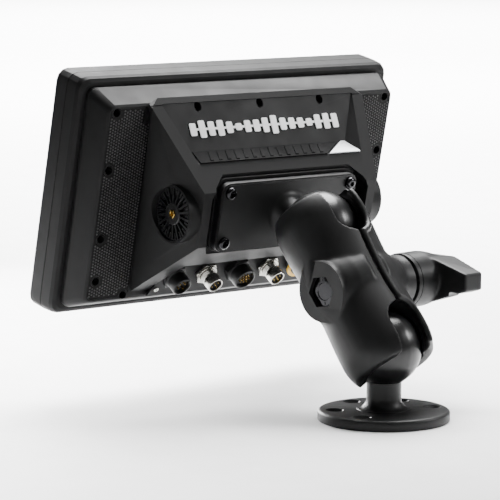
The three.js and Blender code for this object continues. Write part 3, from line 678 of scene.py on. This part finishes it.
def add_adapter_plate():
    plate = united(prism(rounded(138, 55, 8, 0, PLATE_Y / MM), 101.5, 106.4),
                   prism(rounded(135.6, 52.6, 7, 0, PLATE_Y / MM), 106, 107.6))
    bead = cut(prism(rounded(138, 55, 8, 0, PLATE_Y / MM), 105, 106.9),
               prism(rounded(134.4, 51.4, 6.4, 0, PLATE_Y / MM), 104, 108))
    neck = [(0, 105), (20.4, 105), (20.4, 107.4)] + [(r, 107.5 + z) for r, z in flare(20.3, 12, 11)]
    neck += [(12, 122.4), (8.5, 122.4), (8.5, 140), (0, 140)]
    body = united(plate, bead, moved(lathe(neck), shift(0, PLATE_Y / MM, 0)))
    holes = [moved(rod(3, 100, 109, 32), shift(x, y, 0)) for x in (61.3, -61.3) for y in (21.3, -18.7)]
    piece("ball_plate", cut(body, *holes), HEAD, "coat", ("adapter_plate",), edge=0.7, sharp=40)


def add_ball(name, node, place):
    """Moulded rubber skin with a fine parting ridge and a rolled lip round the post."""
    radius = 28.575
    profile = [(0, -radius + 0.08)]
    for step in range(1, 72):
        angle = math.radians(-90 + 2.5 * step)
        reach = radius - (0 if step in (35, 36, 37) else 0.09)
        profile.append((reach * math.cos(angle), reach * math.sin(angle)))
    profile.append((0, radius - 0.08))
    skin = moved(lathe(profile, 128), TO_X)
    lip = lathe([(0, -25.4), (13.7, -25.4), (14.4, -25), (14.8, -24.2), (14, -22), (0, -22)])
    hollow = rod(9, -40, -7.6)
    seat = rod(13.5, -40, -25.1)
    piece(name, cut(united(skin, lip), hollow, seat), place, "ball", (node,), edge=0, sharp=50)


BASE_HOLES = (22, 154, -32, -152, -92)


def add_base_plate():
    profile = [(0, 0), (49.2, 0), (49.9, 0.3), (50.2, 1), (50.2, 6.4), (49.8, 7.3), (49, 8), (47.8, 8.4),
               (21, 8.4), (20.5, 8.6)]
    profile += [(r, 9 + z) for r, z in flare(20.2, 13.2, 8.6)]
    profile += [(13.2, 29.4), (8.5, 29.4), (8.5, 47), (0, 47)]
    drills = []
    for degrees in BASE_HOLES:
        drill = lathe([(0, -1), (3.3, -1), (3.3, 4.6), (6.7, 8.0), (6.9, 8.2), (6.9, 9.4), (0, 9.4)], 48)
        drills.append(moved(drill, turn(degrees, "Z"), shift(38, 0, 0)))
    relief = cut(rod(29, -1, 0.5), rod(18, -2, 1))
    plate = cut(lathe(profile, 128), relief, *drills)
    piece("pedestal", plate, WORLD, "coat", ("base_plate",), edge=0.25, sharp=40)


add_adapter_plate()
add_ball("upper_ball_skin", "upper_ball", HEAD @ shift(0, PLATE_Y / MM, NECK_REACH / MM))
add_ball("lower_ball_skin", "lower_ball", WORLD @ shift(0, 0, 55))
add_base_plate()


# ---- arm ----
SHAPE = {"radius": 35.7, "waist": 32.2, "cup": 29.1, "end": 17.8, "start": 8}
FIXED = {"side": 1, "wide": 34.6, "slot": 15, "head_slot": 15, "gap": 1.2, "depth": 14}
JAW = {"side": -1, "wide": 38.6, "slot": 14.5, "head_slot": 16, "gap": 2, "depth": 16}


def arm_radius(z):
    """Radius of the arm at height z above the lower ball's centre, before it is pinched and widened."""
    beyond = min(z, ARM_LENGTH - z, 0)
    return math.sqrt(SHAPE["radius"] ** 2 - beyond * beyond)


def pinch(z):
    """How far the arm narrows across the slot at height z."""
    share = min(max(z / ARM_LENGTH, 0), 1)
    return 1 - (1 - SHAPE["waist"] / SHAPE["radius"]) * math.sin(math.pi * share) ** 2


def gap_width(half, z):
    """From the arm's middle plane to the edge of one half at height z."""
    slot = half["slot"] if z < ARM_LENGTH / 2 else half["head_slot"]
    share = min(max((min(z, ARM_LENGTH - z) - SHAPE["start"]) / half["depth"], 0), 1)
    return half["gap"] + (slot - half["gap"]) * math.sqrt(1 - share * share)


def arm_body(half):
    low, high = -SHAPE["end"], ARM_LENGTH + SHAPE["end"]
    heights = [low + (high - low) * step / 60 for step in range(61)]
    body = lathe([(0, low)] + [(arm_radius(z), z) for z in heights] + [(0, high)], 96)
    for vertex in body.vertices:
        vertex.co.x *= half["wide"] / SHAPE["radius"]
        vertex.co.y *= pinch(vertex.co.z)
    return body


def gap_tool(half):
    heights = [step * 1.5 for step in range(int(ARM_LENGTH / 1.5) + 1)]
    right = [(gap_width(half, z), z) for z in heights]
    right = [(half["slot"], -60)] + right + [(half["head_slot"], ARM_LENGTH + 60)]
    outline = right + [(-x, z) for x, z in reversed(right)]
    return moved(prism(outline, -60, 60), turn(90, "X"))


def lip_path(half, front):
    """Where the gap's edge meets the outer surface of one half."""
    points = []
    for step in range(61):
        z = -14 + (ARM_LENGTH + 28) * step / 60
        across = gap_width(half, z) + 1.5
        share = across / half["wide"]
        reach = arm_radius(z) * math.sqrt(1 - share * share) * pinch(z) - 0.5
        points.append(Vector((half["side"] * across, front * reach, z)))
    return points


def middle(mesh):
    return moved(mesh, shift(0, 0, ARM_LENGTH / 2))


def along_x(profile, side, segments=96):
    """A body turned about the bolt's axis, given as (radius, distance) on that side."""
    return moved(lathe(profile, segments), turn(90 * side, "Y"))


def ball_form(radius, z):
    steps = [math.radians(-90 + 5 * step) for step in range(37)]
    profile = [(max(radius * math.cos(angle), 0), radius * math.sin(angle)) for angle in steps]
    profile[0] = (0, -radius)
    profile[-1] = (0, radius)
    return moved(lathe(profile, 72), shift(0, 0, z))


def arm_half(half, boss, lip):
    side = half["side"]
    body = united(arm_body(half), middle(boss))
    space = moved(box(-40, 40, -60, 60, -60, 180), shift(side * 40, 0, 0))
    cups = [ball_form(SHAPE["cup"], z) for z in (0, ARM_LENGTH)]
    cast = boolean("INTERSECT", melted(body, 1.0, 14), [space])
    cast = cut(cast, gap_tool(half), *cups)
    if lip:
        beads = [tube(lip_path(half, front), lip, 12) for front in (1, -1)]
        cups = [ball_form(SHAPE["cup"], z) for z in (0, ARM_LENGTH)]
        cast = cut(united(cast, *beads), *cups)
    cast = melted(cast, 0.75, 4)
    bores = [middle(along_x([(0, -2), (10, -2), (10, 12), (0, 12)], side)),
             middle(moved(rod(5.6, -80, 80), TO_X))]
    ends = [moved(box(-90, 90, -90, 90, 0, 60), shift(0, 0, ARM_LENGTH + SHAPE["end"] - 0.1)),
            moved(box(-90, 90, -90, 90, -60, 0), shift(0, 0, 0.1 - SHAPE["end"]))]
    cups = [ball_form(SHAPE["cup"], z) for z in (0, ARM_LENGTH)]
    return cut(cast, *bores, *ends, *cups)


def add_arm():
    profile = [(0, 0), (34, 8), (30, 20), (25.4, 28.5), (23, 31.6), (23, 40), (0, 40)]
    fixed = arm_half(FIXED, along_x(profile, 1), 0)
    face = middle(moved(box(34.5, 60, -60, 60, -60, 60)))
    pocket = middle(moved(prism(hexagon(22.2), 23.5, 40), turn(90, "Y")))
    fixed = cut(fixed, face, pocket)
    ledge = cut(middle(moved(prism(hexagon(24.6), 33.4, 34.5), turn(90, "Y"))),
                middle(moved(prism(hexagon(22.3), 20, 40), turn(90, "Y"))))
    piece("arm_fixed", united(fixed, ledge), ARM, "coat", ("arm_half_fixed",), edge=0, sharp=60)
    profile = [(0, 0), (34, 8), (29, 24), (24, 34), (21.4, 39), (20.9, 43), (20.9, 56), (0, 56)]
    jaw = arm_half(JAW, along_x(profile, -1), 2.6)
    face = middle(moved(box(-80, -50, -60, 60, -60, 60)))
    piece("arm_jaw", cut(jaw, face), ARM, "coat", ("arm_half_clamping",), edge=0, sharp=60)


def add_bolt():
    head = boolean("INTERSECT", prism(hexagon(21.4), 24, 31.2),
                   [lathe([(0, 23), (13, 23), (13, 30.1), (10.9, 31.2), (0, 31.2)])])
    dish = lathe([(0, 30.6), (6.4, 30.6), (7.2, 31.7), (0, 31.7)])
    marks = [moved(box(7.6, 9.8, -0.35, 0.35, 30.3, 31.7), turn(60 * step + 30, "Z")) for step in range(6)]
    shank = rod(5, -87, 25, 48)
    threads = [cut(rod(5.4, z, z + 0.55, 48), rod(4.45, z - 1, z + 2, 48)) for z in range(-86, -58, 2)]
    bolt = cut(united(cut(head, dish), shank), *marks, *threads)
    bolt = moved(bolt, shift(0, 0, ARM_LENGTH / 2), TO_X)
    piece("bolt", bolt, ARM, "black_chrome", ("clamp_bolt",), edge=0.15, sharp=35)
    coils = []
    for step in range(145):
        angle = 8 * math.pi * step / 144
        height = 7.6 * math.sin(angle) + ARM_LENGTH / 2
        coils.append(Vector((-9.5 + 19 * step / 144, 7.6 * math.cos(angle), height)))
    piece("spring_coil", tube(coils, 0.95, 12), ARM, "black_chrome", ("arm_spring",), edge=0.1)
    disc = lathe([(0, 50.4), (16.4, 50.4), (17, 50.8), (17, 52), (16.6, 52.4), (0, 52.4)])
    washer = cut(disc, rod(5.6, 40, 60))
    piece("washer_disc", moved(washer, shift(0, 0, ARM_LENGTH / 2), turn(-90, "Y")), ARM, "black_chrome",
          ("knob_washer",), edge=0.1)


# ---- knob: a turned collar that grows into two wings, each scooped on one face ----
def wing_block():
    corners = []
    for x, z, y in ((-80, 6.6, 44.6), (-99.6, 6.6, 44.6), (-74, 18, 12), (-104.6, 16, 12)):
        corners += [(x, sy * y, sz * z) for sy in (1, -1) for sz in (1, -1)]
    shape = bmesh.new()
    for corner in corners:
        shape.verts.new(corner)
    bmesh.ops.convex_hull(shape, input=shape.verts)
    mesh = bpy.data.meshes.new("form")
    shape.to_mesh(mesh)
    shape.free()
    return mesh


def add_knob():
    collar = [(0, 52), (21.7, 52), (21.8, 74), (21.2, 79), (19.6, 86), (17.3, 93), (15.2, 99.4), (0, 99.4)]
    body = united(along_x(collar, -1), wing_block())
    scoops = [moved(rod(19, 77.5, 110, 72), shift(0, side * 31, side * -27.5), turn(-90, "Y"))
              for side in (1, -1)]
    cast = melted(cut(body, *scoops), 0.9, 9)
    groove = cut(rod(24, 56.6, 57.3, 96), rod(20.2, 50, 60, 96))
    bore = rod(5.3, 40, 92, 48)
    trim = box(-60, 60, -60, 60, 40, 52.75)
    tools = [moved(tool, turn(-90, "Y")) for tool in (groove, bore, trim)]
    level = shift(0, 0, ARM_LENGTH / 2) @ turn(-KNOB_LEAN, "X")
    piece("knob_body", moved(cut(cast, *tools), level), ARM, "knob", ("knob",), edge=0, sharp=60)


KNOB_LEAN = math.degrees(math.acos(ARM_Z.z))
add_arm()
add_bolt()
add_knob()


# ---- camera, floor and lights ----
def add_camera():
    yaw, pitch, roll = (math.radians(angle) for angle in (40.15, 7.42, 0.165))
    forward = Vector((-math.sin(yaw) * math.cos(pitch), -math.cos(yaw) * math.cos(pitch), -math.sin(pitch)))
    right = forward.cross(Vector((0, 0, 1))).normalized()
    up = right.cross(forward)
    right, up = right * math.cos(roll) + up * math.sin(roll), up * math.cos(roll) - right * math.sin(roll)
    data = bpy.data.cameras.new("camera")
    data.sensor_width = 36
    data.lens = 194.8
    data.clip_end = 20
    camera = bpy.data.objects.new("camera", data)
    facing = Matrix((right, up, -forward)).transposed().to_4x4()
    camera.matrix_world = Matrix.Translation((1.3785, 1.4764, 0.3921)) @ facing
    bpy.context.scene.collection.objects.link(camera)
    bpy.context.scene.camera = camera


def add_floor():
    mesh = bpy.data.meshes.new("floor")
    half = 12.0
    corners = [(-half, -half, 0), (half, -half, 0), (half, half, 0), (-half, half, 0)]
    mesh.from_pydata(corners, [], [(0, 1, 2, 3)])
    floor = bpy.data.objects.new("floor", mesh)
    bpy.context.scene.collection.objects.link(floor)
    floor.data.materials.append(grained("floor_paper", (0.86, 0.86, 0.86), (0.9, 0.9, 0.9), (0.6, 0.7), 300))


def add_light(name, position, target, size, power, spread=180):
    """A square softbox. A narrower spread, in degrees, keeps its light off the floor on the camera's side."""
    data = bpy.data.lights.new(name, "AREA")
    data.energy = power
    data.size = size
    data.spread = math.radians(spread)
    light = bpy.data.objects.new(name, data)
    light.location = position
    direction = Vector(target) - Vector(position)
    light.rotation_euler = direction.to_track_quat("-Z", "Y").to_euler()
    bpy.context.scene.collection.objects.link(light)


def add_world():
    world = bpy.data.worlds.new("studio")
    world.use_nodes = True
    background = world.node_tree.nodes["Background"]
    background.inputs["Color"].default_value = (1, 1, 1, 1)
    background.inputs["Strength"].default_value = 0.15
    bpy.context.scene.world = world


CENTRE = (0, -0.1, 0.12)
add_camera()
add_floor()
add_world()
add_light("top_softbox", (-0.75, -0.85, 1.6), (-0.6, -0.7, 0), 1.5, 100, 110)
add_light("far_softbox", (-1.9, -2.4, 2.2), (-2.0, -2.5, 0), 2.4, 380, 110)
add_light("back_softbox", (-4.2, -5.2, 3.4), (-4.4, -5.5, 0), 4.5, 1500, 120)
add_light("wide_softbox", (0.1, 0.0, 2.2), (0, -0.1, 0), 2.0, 8)
add_light("low_softbox", (-0.1, -0.95, 0.32), (0.1, -0.15, 0), 0.5, 7, 60)
add_light("key_softbox", (-1.3, 0.95, 0.95), CENTRE, 0.45, 3, 70)
